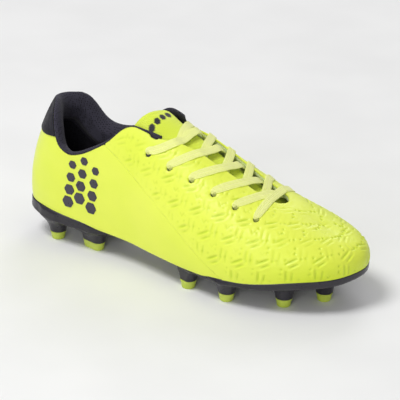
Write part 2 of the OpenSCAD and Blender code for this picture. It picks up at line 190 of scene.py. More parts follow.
def line_distance(q, a, b):
    """Distance in a plane from points to the nearest of the segments from a to b."""
    flat = q.reshape(-1, 2)
    ab = b - a
    size = (ab * ab).sum(-1)
    out = np.empty(len(flat))
    for i in range(0, len(flat), 8192):
        dx = flat[i:i + 8192, 0, None] - a[:, 0]
        dy = flat[i:i + 8192, 1, None] - a[:, 1]
        f = np.clip((dx * ab[:, 0] + dy * ab[:, 1]) / size, 0, 1)
        dx -= f * ab[:, 0]
        dy -= f * ab[:, 1]
        out[i:i + 8192] = np.sqrt((dx * dx + dy * dy).min(1))
    return out.reshape(q.shape[:-1])


def outline_gap(p, outline):
    """Signed distance in plan from a closed outline, positive outside."""
    q = np.asarray(p, float)[..., :2]
    a, b = outline, np.roll(outline, -1, 0)
    flat = q.reshape(-1, 2)
    inside = np.zeros(len(flat), bool)
    for (x0, y0), (x1, y1) in zip(a, b):
        if y0 != y1:
            cross = (y0 > flat[:, 1]) != (y1 > flat[:, 1])
            inside ^= cross & (flat[:, 0] < x0 + (flat[:, 1] - y0) / (y1 - y0) * (x1 - x0))
    d = line_distance(q, a, b)
    return np.where(inside.reshape(d.shape), -d, d)


def smooth_min(a, b, k):
    h = np.clip(0.5 + 0.5 * (b - a) / k, 0, 1)
    return b * (1 - h) + a * h - k * h * (1 - h)


def opening_gap(p):
    return smooth_min(topline_gap(p), outline_gap(p, THROAT_LINE), 3.0)


def seam_gap(p):
    """Distance in front of the seam between the vamp and the quarters."""
    return (p[..., 2] - SEAM_TOP[1] - SEAM_SLOPE * (p[..., 0] - SEAM_TOP[0])) * 0.84


# ---------------------------------------------------------------- meshes from the surface
def grid(t0, t1, nt, ns, s0=0.0, s1=1.0):
    return np.meshgrid(np.linspace(t0, t1, nt), np.linspace(s0, s1, ns), indexing="ij")


def pull_to_zero(t, s, f, allowed=True):
    """Moves grid points onto the line where f is zero, so that the mesh can be cut along it."""
    best = np.full(f.shape, 0.5)
    nt, ns = t, s
    for di, dj in ((1, 0), (-1, 0), (0, 1), (0, -1)):
        def beside(v):
            return np.roll(v, (-di, -dj), (0, 1))
        ok = (f * beside(f) < 0) & allowed
        if di:
            ok[-1 if di > 0 else 0, :] = False
        if dj:
            ok[:, -1 if dj > 0 else 0] = False
        a = np.where(ok, f / np.where(ok, f - beside(f), 1), 1)
        use = ok & (a <= best)
        best = np.where(use, a, best)
        nt = np.where(use, t + (beside(t) - t) * a, nt)
        ns = np.where(use, s + (beside(s) - s) * a, ns)
    return nt, ns, np.where(best < 0.5, 0.0, f)


def trim(t, s, gap):
    return pull_to_zero(t, s, gap(t, s))


def cut_faces(f):
    """Faces of the grid where the field is not negative; diagonal cuts become triangles."""
    n, m = f.shape
    idx = np.arange(n * m).reshape(n, m)
    a, b, c, d = idx[:-1, :-1].ravel(), idx[1:, :-1].ravel(), idx[1:, 1:].ravel(), idx[:-1, 1:].ravel()
    v = f.ravel()
    quads = np.stack([a, b, c, d], 1)
    q = v[quads]
    keep = (q >= 0).all(1) & (q > 0).any(1)
    faces = quads[keep].tolist()
    mixed = (q > 0).any(1) & (q < 0).any(1)
    for k in np.nonzero(mixed)[0]:
        for i in range(4):
            tri = [quads[k][i], quads[k][(i + 1) % 4], quads[k][(i + 2) % 4]]
            w = v[tri]
            if w[0] == 0 and w[2] == 0 and w[1] > 0:
                faces.append([int(x) for x in tri])
    return faces


def boundary(faces):
    """Boundary edges, directed as in their face, each with that face."""
    seen = {}
    for face in faces:
        for i in range(len(face)):
            seen[(face[i], face[(i + 1) % len(face)])] = face
    return [(e, f) for e, f in seen.items() if (e[1], e[0]) not in seen]


def renumber(faces, count):
    """The points that the faces use, and the faces with those points' new numbers."""
    used = np.unique([i for face in faces for i in face])
    number = np.zeros(count, int)
    number[used] = np.arange(len(used))
    return used, [[int(number[i]) for i in face] for face in faces]


def shell(points, inner, faces, edge=0.0):
    """A closed shell from an outer and an inner point set with the same faces; edge rounds its rim."""
    used, faces = renumber(faces, len(points))
    outer, inn = points[used].copy(), inner[used].copy()
    rim, n = boundary(faces), len(used)
    verts, levels = [outer, inn], [0, n]
    if edge > 0:
        inward = np.zeros((n, 3))
        for (a, b), face in rim:
            e = unit(outer[b] - outer[a])
            c = outer[face].mean(0) - (outer[a] + outer[b]) / 2
            c = unit(c - e * (c @ e))
            inward[a] += c
            inward[b] += c
        inward, down = unit(inward), unit(inn - outer)
        r = np.minimum(edge, norm(inn - outer) * 0.45)
        verts += [outer + (inward + down) * r * 0.3, outer + down * r]
        outer += inward * r
        levels = [0, 2 * n, 3 * n, n]
    faces += [[i + n for i in reversed(face)] for face in faces]
    for (a, b), _ in rim:
        for lo, hi in zip(levels[:-1], levels[1:]):
            faces.append([b + lo, a + lo, a + hi, b + hi])
    return np.vstack(verts), faces, used


def tube_faces(rings, per):
    """Quads between rings that have per points each."""
    faces = []
    for i in range(rings - 1):
        for k in range(per):
            a, b = i * per + k, i * per + (k + 1) % per
            faces.append([a, b, b + per, a + per])
    return faces


def make(name, verts, faces, material, nodes, body="shoe"):
    """A mesh object from points in millimetres, named to the frame."""
    verts = (np.asarray(verts, float) - CENTRE) * MM
    used, faces = renumber(faces, len(verts))
    mesh = bpy.data.meshes.new(name)
    mesh.from_pydata(verts[used].tolist(), [], faces)
    mesh.validate()
    mesh.update()
    mesh.shade_smooth()
    obj = bpy.data.objects.new(name, mesh)
    bpy.context.scene.collection.objects.link(obj)
    mesh.materials.append(material)
    if body:
        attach(obj, body)
    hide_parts(*nodes)
    return obj


def cut_hole(t, s, f, centre, radius):
    """Open a round hole of a given radius at a point of the surface."""
    g = np.linalg.norm(wall(t, s) - centre, axis=-1) - radius
    near = g < radius * 1.2
    t, s, g = pull_to_zero(t, s, g, near)
    return t, s, np.where(near, np.minimum(f, g), f)


# ---------------------------------------------------------------- materials
def rgb(r, g, b):
    """A colour given as it looks on screen, turned into scene values."""
    c = np.array([r, g, b]) / 255.0
    return tuple(np.where(c <= 0.04045, c / 12.92, ((c + 0.055) / 1.055) ** 2.4)) + (1.0,)


class Material:
    """A procedural material: small helpers that add and link shader nodes."""

    def __init__(self, name, roughness=0.5, **fixed):
        self.mat = bpy.data.materials.new(name)
        self.mat.use_nodes = True
        self.tree = self.mat.node_tree
        self.shader = self.tree.nodes["Principled BSDF"]
        self.shader.inputs["Roughness"].default_value = roughness
        for key, value in fixed.items():
            self.shader.inputs[key.replace("_", " ")].default_value = value
        self.height = None
        self.place = self.node("ShaderNodeTexCoord").outputs["Object"]

    def node(self, kind, **settings):
        n = self.tree.nodes.new(kind)
        for key, value in settings.items():
            setattr(n, key, value)
        return n

    def link(self, value, socket):
        if isinstance(value, bpy.types.NodeSocket):
            self.tree.links.new(value, socket)
        else:
            socket.default_value = value
        return socket

    def attribute(self, name):
        return self.node("ShaderNodeAttribute", attribute_name=name).outputs["Fac"]

    def split(self, where=None):
        n = self.node("ShaderNodeSeparateXYZ")
        self.link(self.place if where is None else where, n.inputs[0])
        return n.outputs

    def stretched(self, scale, turn=(0, 0, 0)):
        n = self.node("ShaderNodeMapping")
        self.link(self.place, n.inputs["Vector"])
        n.inputs["Scale"].default_value = scale
        n.inputs["Rotation"].default_value = turn
        return n.outputs[0]

    def texture(self, kind, per_mm, where, out="Fac", settings=None, **inputs):
        n = self.node("ShaderNodeTex" + kind, **(settings or {}))
        self.link(self.place if where is None else where, n.inputs["Vector"])
        n.inputs["Scale"].default_value = per_mm / MM
        for key, value in inputs.items():
            n.inputs[key].default_value = value
        return n.outputs[out]

    def noise(self, per_mm, detail=3.0, rough=0.5, where=None):
        return self.texture("Noise", per_mm, where, Detail=detail, Roughness=rough)

    def cells(self, per_mm, feature="F1", where=None, spread=1.0):
        return self.texture("Voronoi", per_mm, where, "Distance", {"feature": feature}, Randomness=spread)

    def wave(self, per_mm, direction, where=None, distortion=0.0):
        bands = {"wave_type": "BANDS", "bands_direction": direction}
        return self.texture("Wave", per_mm, where, "Fac", bands, Distortion=distortion, Detail=1.0)

    def math(self, kind, a, b=0.0, clamp=False):
        n = self.node("ShaderNodeMath", operation=kind, use_clamp=clamp)
        self.link(a, n.inputs[0])
        self.link(b, n.inputs[1])
        return n.outputs[0]

    def span(self, value, lo, hi, to_lo=0.0, to_hi=1.0, smooth=True):
        n = self.node("ShaderNodeMapRange", clamp=True)
        if smooth:
            n.interpolation_type = "SMOOTHSTEP"
        for v, socket in zip((value, lo, hi, to_lo, to_hi), n.inputs):
            self.link(v, socket)
        return n.outputs[0]

    def mix(self, fac, a, b, kind="MIX"):
        n = self.node("ShaderNodeMix", data_type="RGBA", blend_type=kind)
        self.link(fac, n.inputs[0])
        self.link(a, n.inputs[6])
        self.link(b, n.inputs[7])
        return n.outputs[2]

    def colour(self, value):
        self.link(value, self.shader.inputs["Base Color"])

    def rough(self, value):
        self.link(value, self.shader.inputs["Roughness"])

    def bump(self, height, mm, strength=1.0):
        n = self.node("ShaderNodeBump")
        n.inputs["Strength"].default_value = strength
        n.inputs["Distance"].default_value = mm * MM
        self.link(height, n.inputs["Height"])
        if self.height is not None:
            self.link(self.height, n.inputs["Normal"])
        self.height = n.outputs[0]
        self.link(self.height, self.shader.inputs["Normal"])


def skin_material(name, base, deep, grain=0.055, relief=True, roughness=0.40):
    """The coated skin: blotches, grain, painted shade low on the front of the toe and in the pressed marks.
    """
    m = Material(name, roughness, Specular_IOR_Level=0.45, Coat_Weight=0.06, Coat_Roughness=0.35,
                 Sheen_Weight=0.08, Sheen_Roughness=0.5)
    blotch = m.noise(0.02, 3)
    fine = m.noise(1.6, 2)
    tone = m.mix(m.span(blotch, 0.3, 0.7, 0.0, 0.35), base, deep)
    tone = m.mix(m.span(fine, 0.4, 0.75, 0.0, 0.12), tone, deep)
    x, _, z = m.split()
    # painted shade: the front of the toe is darker and deeper in colour low down, where its sides face away
    # from the lamps above
    front = m.span(x, (190 - CENTRE[0]) * MM, (270 - CENTRE[0]) * MM)
    low = m.span(z, 50 * MM, 24 * MM)
    tone = m.mix(m.math("MULTIPLY", m.math("MULTIPLY", front, low), 0.9), tone, rgb(213, 234, 6))
    if relief:
        # painted shade in the pressed marks: the skin's colour darkens with how deep a point lies in a
        # groove
        groove_shade = m.attribute("groove_shade")
        tone = m.mix(m.math("MULTIPLY", groove_shade, 0.7), tone, rgb(178, 204, 14))
    m.colour(tone)
    m.rough(m.span(m.noise(0.25, 4, 0.6), 0.25, 0.75, roughness - 0.06, roughness + 0.1))
    pebble = m.cells(1.25, "SMOOTH_F1")
    m.bump(pebble, grain, 0.7)
    m.bump(m.noise(0.09, 2), 0.5, 0.35)
    return m.mat


def knit_material(name, base, dark):
    """A dark mesh lining with small holes and a soft nap."""
    m = Material(name, 0.85, Specular_IOR_Level=0.2, Sheen_Weight=0.1, Sheen_Roughness=0.5)
    loops = m.span(m.cells(0.714, "F1", spread=0.35), 0.15, 0.6)
    fuzz = m.noise(2.2, 3)
    m.colour(m.mix(m.span(m.math("ADD", loops, m.math("MULTIPLY", fuzz, 0.4)), 0.1, 0.9), dark, base))
    m.rough(m.span(fuzz, 0.3, 0.7, 0.77, 0.93))
    m.bump(loops, 0.11, 0.9)
    m.bump(fuzz, 0.08, 0.6)
    return m.mat


def plastic_material(name, base, light, roughness=0.38, scuff=0.2, texture=0.06):
    """Moulded plastic with a cloudy tone and fine scuffs."""
    m = Material(name, roughness, Specular_IOR_Level=0.5, Coat_Weight=0.08, Coat_Roughness=0.3)
    scratch = m.noise(0.5, 6, 0.7, where=m.stretched((1, 5, 5)))
    cloud = m.noise(0.05, 4)
    tone = m.mix(m.span(cloud, 0.35, 0.7, 0.0, 0.35), base, light)
    m.colour(m.mix(m.span(scratch, 0.6, 0.8, 0.0, scuff), tone, light))
    m.rough(m.span(m.noise(0.4, 5, 0.65), 0.3, 0.7, roughness - 0.06, roughness + 0.14))
    m.bump(m.noise(3.0, 2), texture, 0.6)
    m.bump(scratch, 0.05, 0.5)
    return m.mat


# the lace's weave: length of one ply in mm, and ribs across its width
PLY_PITCH, RIBS = 1.15, 6


def lace_material():
    m = Material("lace_weave", 0.72, Specular_IOR_Level=0.3, Sheen_Weight=0.35, Sheen_Roughness=0.4)
    length, width, _ = m.split(m.node("ShaderNodeUVMap", uv_map="weave").outputs[0])
    across = m.math("ABSOLUTE", m.math("SUBTRACT", width, 0.5))
    lean = m.math("ADD", length, m.math("MULTIPLY", across, 5.0))
    ply = m.math("SINE", m.math("MULTIPLY", lean, 2 * math.pi / PLY_PITCH))
    rib = m.math("SINE", m.math("MULTIPLY", across, 2 * math.pi * RIBS))
    weave = m.math("ADD", m.math("MULTIPLY", ply, 0.5), m.math("MULTIPLY", rib, 0.5))
    fuzz = m.noise(3.0, 3)
    m.colour(m.mix(m.span(m.math("ADD", weave, m.math("MULTIPLY", fuzz, 0.5)), -0.8, 0.8),
                   rgb(240, 251, 112), rgb(253, 255, 174)))
    m.rough(m.span(fuzz, 0.3, 0.7, 0.62, 0.82))
    m.bump(weave, 0.22, 0.9)
    m.bump(fuzz, 0.05, 0.5)
    return m.mat


def heel_skin_material():
    """Napped dark skin, with a slightly paler strip along the topline."""
    m = Material("heel_skin", 0.62, Specular_IOR_Level=0.22, Sheen_Weight=0.06, Sheen_Roughness=0.45)
    nap = m.noise(2.4, 4, 0.65)
    tone = m.mix(m.span(nap, 0.3, 0.7), rgb(20, 19, 26), rgb(38, 36, 46))
    strip = m.attribute("strip")
    m.colour(m.mix(m.math("MULTIPLY", strip, 0.8), tone, rgb(36, 35, 42)))
    m.rough(m.span(m.noise(0.3, 3), 0.3, 0.7, 0.55, 0.72))
    m.bump(m.cells(1.7, "SMOOTH_F1"), 0.12, 0.8)
    m.bump(nap, 0.08, 0.6)
    return m.mat


def two_tone_lining():
    """The vamp's knitted lining: dark at the collar, pale under the laces."""
    m = Material("lining_two_tone", 0.85, Specular_IOR_Level=0.25, Sheen_Weight=0.2, Sheen_Roughness=0.5)
    rows = m.wave(0.28, "Z", distortion=0.4)
    columns = m.wave(0.28, "X", where=m.stretched((1, 1, 1), (0.0, 0.62, 0.0)), distortion=0.4)
    loops = m.math("MULTIPLY", rows, columns)
    fuzz = m.noise(2.2, 3)
    mixed = m.span(m.math("ADD", loops, m.math("MULTIPLY", fuzz, 0.4)), 0.1, 0.9)
    pale = m.mix(mixed, rgb(184, 198, 128), rgb(226, 234, 186))
    dark = m.mix(mixed, rgb(10, 10, 12), rgb(36, 35, 41))
    change = m.span(m.split()[0], (113 - CENTRE[0]) * MM, (117 - CENTRE[0]) * MM)
    m.colour(m.mix(change, dark, pale))
    m.bump(loops, 0.2, 0.9)
    m.bump(fuzz, 0.08, 0.6)
    return m.mat


def tongue_material():
    """Mesh skin in front, dark lining behind, with the dark marks printed on it."""
    m = Material("tongue_skin", 0.5, Specular_IOR_Level=0.4, Sheen_Weight=0.2, Sheen_Roughness=0.45)
    mesh = m.cells(0.85, "F1", spread=0.15)
    dot = m.span(mesh, 0.25, 0.55)
    tone = m.mix(m.noise(0.03, 3), NEON, NEON_DEEP)
    tone = m.mix(m.math("MULTIPLY", m.math("SUBTRACT", 1.0, dot), 0.35), tone, rgb(182, 204, 40))
    dark = m.attribute("lining")
    tone = m.mix(dark, tone, m.mix(m.noise(1.2, 3), rgb(12, 12, 15), rgb(36, 35, 42)))
    tone = m.mix(m.attribute("mark"), tone, rgb(30, 29, 36))
    m.colour(tone)
    m.rough(m.span(m.noise(0.6, 4), 0.3, 0.7, 0.45, 0.62))
    m.bump(dot, 0.16, 0.8)
    m.bump(m.noise(1.8, 3), 0.06, 0.6)
    return m.mat


NEON = rgb(232, 243, 86)
NEON_DEEP = rgb(214, 234, 50)
MAT = {
    "textured_skin": skin_material("textured_skin", NEON, NEON_DEEP),
    "smooth_skin": skin_material("smooth_skin", NEON, NEON_DEEP, grain=0.035, relief=False, roughness=0.36),
    "collar_knit": knit_material("collar_knit", rgb(56, 54, 66), rgb(15, 14, 19)),
    "dark_lining": knit_material("dark_lining", rgb(34, 33, 39), rgb(9, 9, 11)),
    "outsole": plastic_material("outsole", rgb(31, 28, 37), rgb(52, 49, 58), 0.32, 0.12, 0.04),
    "stud_tip": plastic_material("stud_tip", rgb(186, 205, 66), rgb(214, 226, 110), 0.4, 0.3),
    "sockliner": plastic_material("sockliner_cloth", rgb(25, 24, 30), rgb(46, 45, 52), 0.85, 0.25, 0.35),
    "board": plastic_material("board", rgb(201, 195, 180), rgb(222, 216, 204), 0.75, 0.2, 0.12),
    "film": plastic_material("film", rgb(52, 47, 62), rgb(70, 66, 82), 0.32, 0.15, 0.03),
    "lace": lace_material(),
    "aglet": plastic_material("aglet", rgb(214, 226, 150), rgb(235, 242, 190), 0.2, 0.1, 0.01),
    "heel_skin": heel_skin_material(),
    "lining_two_tone": two_tone_lining(),
    "tongue_skin": tongue_material(),
}


# ---------------------------------------------------------------- upper
# the lasting margin: millimetres for each unit of s below 0, and the radius it turns in under the foot
TURN_LENGTH, TURN_RADIUS = 100, 2.4
# how far s goes below 0, the stations where the vamp's grid ends, and thicknesses of the layers
MARGIN = 0.14
VAMP_ENDS = (3.1, STATIONS - 3.1)
SKIN, ROLL_OUT = 1.6, 0.25


def extended(t, s, off=0.0):
    """The wall, carried on below the feather edge and turned under the foot for s below 0."""
    t, s, off = spread(t, s, off)
    p = wall(t, np.clip(s, 0, 1), off)
    d = np.clip(-s, 0, None) * TURN_LENGTH
    r = TURN_RADIUS + off * 0.6
    turn = np.clip(d / r, 0, math.pi / 2)
    q = feather(t, off - r * (1 - np.cos(turn)) - np.clip(d - r * math.pi / 2, 0, None))
    q[..., 2] -= r * np.sin(turn)
    return np.where((s < 0)[..., None], q, p)


def arc_tables():
    """Stations, height shares, and the lengths in millimetres along and up the vamp at them."""
    t = np.linspace(3.0, 17.0, 561)
    s = np.linspace(0, 1, 81)
    p = wall(t[:, None], s)
    rise = np.cumsum(np.linalg.norm(np.diff(p, axis=1), axis=-1), 1)
    v = np.concatenate([np.zeros((len(t), 1)), rise], 1)
    mid = wall(t, 0.35)
    u = np.concatenate([[0], np.cumsum(np.linalg.norm(np.diff(mid, axis=0), axis=-1))])
    return t, s, u, v


def stroke(x, y, x0, y0, x1, y1, w, depth):
    """Height of one pressed stroke: a groove with a low lip along its lower side."""
    ax, ay = x1 - x0, y1 - y0
    length = math.hypot(ax, ay)
    f = np.clip(((x - x0) * ax + (y - y0) * ay) / length ** 2, 0, 1)
    r = np.hypot(x - x0 - f * ax, y - y0 - f * ay)
    side = ((x - x0) * ay - (y - y0) * ax) / length
    ends = 0.35 + 0.65 * np.sin(math.pi * (0.12 + 0.76 * f))
    lip = np.exp(-((side - 1.7) / 0.9) ** 2) * np.exp(-(np.maximum(r - 2.2, 0) / 0.8) ** 2)
    return depth * ends * (0.4 * lip - np.exp(-(r / w) ** 2))


MARK_PITCH, MARK_RISE = 19.6, 15.6
MARK_START = (4, 13.5)
MARK_GAP, MARK_REACH = 12.5, 19


def frame_at(t, s):
    """A point of the wall with its directions forward along it and up it."""
    e2 = unit(wall(t, s + 0.01) - wall(t, s - 0.01))
    e1 = (wall(t + 0.01, s) - wall(t - 0.01, s)) * (1 if t < TOE_STATION else -1)
    return wall(t, s), unit(e1 - e2 * (e1 @ e2)), e2


def mark_height(x, y, c, cv, s, jitter):
    """One mark: two slanted strokes, two upright ones, a vee and five pits, weaker near the toe's crest."""
    up = np.clip((c[2] - 38) / 18, 0, 1)
    crest = np.clip((s - 0.72) / 0.2, 0, 1) * np.clip((c[0] - 195) / 20, 0, 1)
    toeward = np.clip((c[0] - 200) / 40, 0, 1)
    lacing = np.clip((opening_gap(c) - 6) / 12, 0, 1)
    low = np.clip(1.2 - cv / 70, 0.35, 1) * (1 - 0.85 * up * toeward) * (1 - 0.7 * crest)
    slant = (1 - 0.7 * up * toeward) * (0.35 + 0.65 * lacing) * (1 - 0.6 * crest)
    vee = 0.35 * slant * np.clip((cv - 20) / 20, 0, 1)
    pit = 0.38 + 0.3 * toeward * (0.3 + up)
    a, b = jitter[0], jitter[1]
    # start x y, end x y, width, depth
    strokes = ((-4.2 + a, 1.0 + b, 3.2 + a, 4.9 + b, 0.95, 0.85 * slant),
               (-0.8 + a, -1.6 + b, 4.2 + a, 1.0 + b, 0.8, 0.65 * slant),
               (-3.4 + jitter[2], -5.0, -3.8, -12.6 + jitter[3], 0.85, 0.72 * low),
               (0.6 + jitter[4], -6.2, 0.3, -13.6 + jitter[5], 0.8, 0.6 * low),
               (6.4, -3.2, 7.9, -5.6, 0.55, vee), (8.3, -5.4, 9.8, -3.0, 0.55, vee))
    h = sum(stroke(x, y, *line) for line in strokes)
    for x0, y0 in ((6.6 + a, 4.6), (9.6 + a, 5.4), (-7.6, -3.5 + b), (-8.0, -7.2 + b), (5.4, -10.5)):
        h -= pit * np.exp(-(np.hypot(x - x0, y - y0) / 0.85) ** 2)
    return h


def emboss(points, mask):
    """Height of the embossed marks at each point of the vamp."""
    rng = np.random.default_rng(7)
    ts, ss, u, v = arc_tables()
    toe = float(np.interp(TOE_STATION, ts, u))
    height = np.zeros(len(points))
    placed = []
    for j in range(7):
        for i in range(-14, 15):
            cu = toe + MARK_PITCH * (i + 0.5 * (j % 2)) + MARK_START[0]
            cv = MARK_START[1] + MARK_RISE * j
            jitter = rng.uniform(-0.7, 0.7, 8)
            if not u[0] + 2 < cu < u[-1] - 2:
                continue
            t = float(np.interp(cu, u, ts))
            k = int(round((t - ts[0]) / (ts[1] - ts[0])))
            if cv > v[k, -1] - 2:
                continue
            s = float(np.interp(cv, v[k], ss))
            c, e1, e2 = frame_at(t, s)
            if any(np.linalg.norm(c - q) < MARK_GAP for q in placed):
                continue
            placed.append(c)
            d = points - c
            near = np.linalg.norm(d, axis=1) < MARK_REACH
            d = d[near]
            h = mark_height(d @ e1, d @ e2, c, cv, s, jitter)
            height[near] += np.where(np.abs(d @ np.cross(e1, e2)) < 7, h, 0)
    return height * mask


RIDGE_REACH, RIDGE_PASSES, RIDGE_FROM = 26, 80, 200


def smooth_ridge(p):
    """Evens out the crease along the ridge in front of the throat, where both sides meet."""
    p = p.copy()
    p[:, -1] = (p[:, -1] + p[::-1, -1]) / 2
    q = np.concatenate([p, p[::-1, ::-1][:, 1:]], axis=1)
    m = p.shape[1] - 1
    reach = np.clip(1 - np.abs(np.arange(q.shape[1]) - m) / RIDGE_REACH, 0, 1)[None, :, None]
    weight = reach * np.clip((opening_gap(q) - 1.5) / 2, 0, 1)[..., None] * (q[..., :1] > RIDGE_FROM)
    for _ in range(RIDGE_PASSES):
        q[:, 1:-1] += weight[:, 1:-1] * (0.5 * (q[:, :-2] + q[:, 2:]) - q[:, 1:-1])
    return q[:, :m + 1]


def stitch_ridge(faces, shape):
    """Makes both sides share their points along the ridge, so that it is no edge."""
    n, m = shape
    same = np.arange(n * m)
    i = np.arange(n)
    same[i * m + m - 1] = np.minimum(i, n - 1 - i) * m + m - 1
    out = []
    for face in faces:
        face = [int(same[k]) for k in face]
        face = [k for a, k in enumerate(face) if k != face[a - 1]]
        if len(face) > 2:
            out.append(face)
    return out


def shell_from(name, nodes, t, s, f, off0, off1, material, edge, lift=None, attributes=None,
               mirrored=False):
    """A layer of the upper between two offsets of the wall, where the field f is not negative."""
    faces = cut_faces(f)
    outer, inner = extended(t, s, off0), extended(t, s, off1)
    if mirrored:
        outer, inner = smooth_ridge(outer), smooth_ridge(inner)
    if lift is not None:
        outer = outer + wall_normal(t, np.clip(s, 0.01, 0.985)) * lift[..., None]
    if mirrored:
        for p in (outer, inner):
            p[:, -1] = (p[:, -1] + p[::-1, -1]) / 2
        faces = stitch_ridge(faces, t.shape)
    verts, faces, used = shell(outer.reshape(-1, 3), inner.reshape(-1, 3), faces, edge)
    obj = make(name, verts, faces, material, nodes=nodes)
    for key, value in (attributes or {}).items():
        layers = np.tile(value.ravel()[used], len(verts) // len(used))
        add_attribute(obj, key, layers[:len(obj.data.vertices)])
    return obj


def add_attribute(obj, name, values):
    a = obj.data.attributes.new(name, "FLOAT", "POINT")
    a.data.foreach_set("value", np.asarray(values, np.float32))


def weld(obj, distance):
    bm = bmesh.new()
    bm.from_mesh(obj.data)
    bmesh.ops.remove_doubles(bm, verts=bm.verts, dist=distance * MM)
    bm.to_mesh(obj.data)
    bm.free()
    obj.data.shade_smooth()


EYELET_T0, EYELET_STEP = 4.44, 0.518
EYELET_S = [0.50, 0.53, 0.57, 0.59, 0.60, 0.60]
EYELET_R = 2.3


def eyelet_t(k):
    return EYELET_T0 + EYELET_STEP * k


def side_t(outer, t):
    return t if outer else STATIONS - t


def eyelets():
    """Centres of the lacing holes, outer side first."""
    return [wall(side_t(outer, eyelet_t(k)), s) for outer in (True, False) for k, s in enumerate(EYELET_S)]


def make_vamp():
    t, s = grid(*VAMP_ENDS, 780, 178, -MARGIN, 1.0)

    def gap(a, b):
        p = extended(a, b)
        return smooth_min(opening_gap(p), seam_gap(p), 0.6)

    t, s, f = trim(t, s, gap)
    for centre in eyelets():
        t, s, f = cut_hole(t, s, f, centre, EYELET_R)
    p = wall(t, np.clip(s, 0, 1))
    holes = [np.linalg.norm(p - centre, axis=-1) for centre in eyelets()]
    g = np.minimum(opening_gap(p), seam_gap(p))
    mask = np.clip((g - 2.5) / 4, 0, 1) * np.clip(s / 0.04, 0, 1)
    for d in holes:
        mask = mask * np.clip((d - 3.2) / 3, 0, 1)
    h = emboss(p.reshape(-1, 3), mask.ravel()).reshape(t.shape)
    # painted shade: how deep each point lies in a pressed mark, used to darken the skin's colour there
    groove_shade = np.clip(-h / 0.75, 0, 1)
    # the eyelet band is a little raised, and the skin dips round each hole
    band = np.clip(1 - np.abs(g - 9.5) / 9.5, 0, 1)
    h = h + 0.25 * band * (p[..., 0] > 105) * (opening_gap(p) < 19)
    for d in holes:
        h = h - 0.45 * np.exp(-((d - EYELET_R) / 1.1) ** 2)
    shell_from("vamp_skin", ["vamp"], t, s, f, 0.0, -1.55, MAT["textured_skin"],
               0.5, lift=h, attributes={"groove_shade": groove_shade}, mirrored=True)


def make_quarter(name, node, t0, t1):
    t, s = grid(t0, t1, 280, 130, -MARGIN, 0.995)

    def gap(a, b):
        q = extended(a, b)
        under_patch = 1.1 * np.clip(side_gap(q, PATCH) / 2, 0, 1)
        return smooth_min(topline_distance(q) - 0.1 - under_patch, -seam_gap(q), 0.6)

    t, s, f = trim(t, s, gap)
    p = wall(t, np.clip(s, 0, 1))
    ripple = 0.12 * np.sin(p[..., 0] * 0.21 + p[..., 2] * 0.13) * np.sin(p[..., 2] * 0.17 - 1.0)
    ripple *= np.clip(-seam_gap(p) / 10, 0, 1) * np.clip(topline_gap(p) / 12, 0, 1)
    shell_from(name, [node], t, s, f, -0.28, -SKIN, MAT["smooth_skin"], 0.45, lift=ripple)


def rounded(points, r):
    """A closed outline with each corner replaced by an arc of about radius r."""
    p = np.array(points, float)
    out = []
    for i in range(len(p)):
        a, b, c = p[i - 1], p[i], p[(i + 1) % len(p)]
        u, w = a - b, c - b
        k = min(r, np.linalg.norm(u) * 0.45, np.linalg.norm(w) * 0.45)
        u, w = u / np.linalg.norm(u) * k, w / np.linalg.norm(w) * k
        for f in np.linspace(0, 1, 7):
            out.append((1 - f) ** 2 * (b + u) + 2 * f * (1 - f) * b + f * f * (b + w))
    return np.array(out)


def side_gap(p, outline):
    """Signed distance in side view from a closed outline, positive inside."""
    return -outline_gap(p[..., [0, 2]], outline)


PATCH = rounded([(-20, 86), (8, 86.5), (20, 87), (32, 88.5), (44, 89), (44, 124), (-20, 124)], 5)


def make_heel_patch():
    t, s = grid(-2.9, 2.9, 250, 130, s0=0.25, s1=0.995)

    def gap(a, b):
        p = wall(a, b)
        return smooth_min(topline_distance(p) - 0.1, side_gap(p, PATCH), 0.5)

    t, s, f = trim(t, s, gap)
    p = wall(t, s)
    below = topline_distance(p)
    strip = np.clip((4.6 - below) / 0.6, 0, 1) * (p[..., 0] > 12)
    edge = np.minimum(below, side_gap(p, PATCH))
    stitch = np.exp(-((edge - 5.2) / 0.4) ** 2) * (0.5 + 0.5 * np.sign(np.sin(p[..., 2] * 2.2)))
    shell_from("heel_patch_skin", ["heel_patch"], t, s, f, 0.75, 0.02, MAT["heel_skin"],
               0.35, lift=-0.25 * stitch, attributes={"strip": strip})


HEXAGONS = (3, 4)
HEXAGON_AT, HEXAGON_PITCH, HEXAGON_D = (44, 39), 10.5, 10.4
COS30 = math.cos(math.pi / 6)


def hexagon_gap(p):
    """Depth inside the nearest hexagon of the side print; each row up is smaller and further forward."""
    x, z = p[..., 0], p[..., 2]
    best = np.full(x.shape, -99.0)
    for i in range(HEXAGONS[0]):
        for j in range(HEXAGONS[1]):
            dx = np.abs(x - (HEXAGON_AT[0] + HEXAGON_PITCH * i + 1.5 * j))
            dz = np.abs(z - (HEXAGON_AT[1] + HEXAGON_PITCH * (j + (0.5 if i % 2 else 0))))
            apothem = (HEXAGON_D - 1.1 * j) / 2 * COS30
            best = np.maximum(best, apothem - np.maximum(dz, dx * COS30 + dz * 0.5))
    return best


def make_film(name, node, t0, t1):
    t, s = grid(t0, t1, 170, 130, s0=0.02, s1=0.62)
    t, s, f = trim(t, s, lambda a, b: hexagon_gap(wall(a, b)))
    shell_from(name, [node], t, s, f, 0.1, -0.4, MAT["film"], 0.1)


def topline_distance(p):
    """Distance below the topline, measured square to it in side view."""
    q = p[..., [0, 2]]
    outer, inner = (line_distance(q, line[:-1], line[1:]) for line in (LINE_OUTER, LINE_INNER))
    w = inner_share(p)
    steep = np.abs(topline_gap(p)) / np.maximum(outer * (1 - w) + inner * w, 1e-6)
    return topline_gap(p) / np.clip(steep, 1, 3)


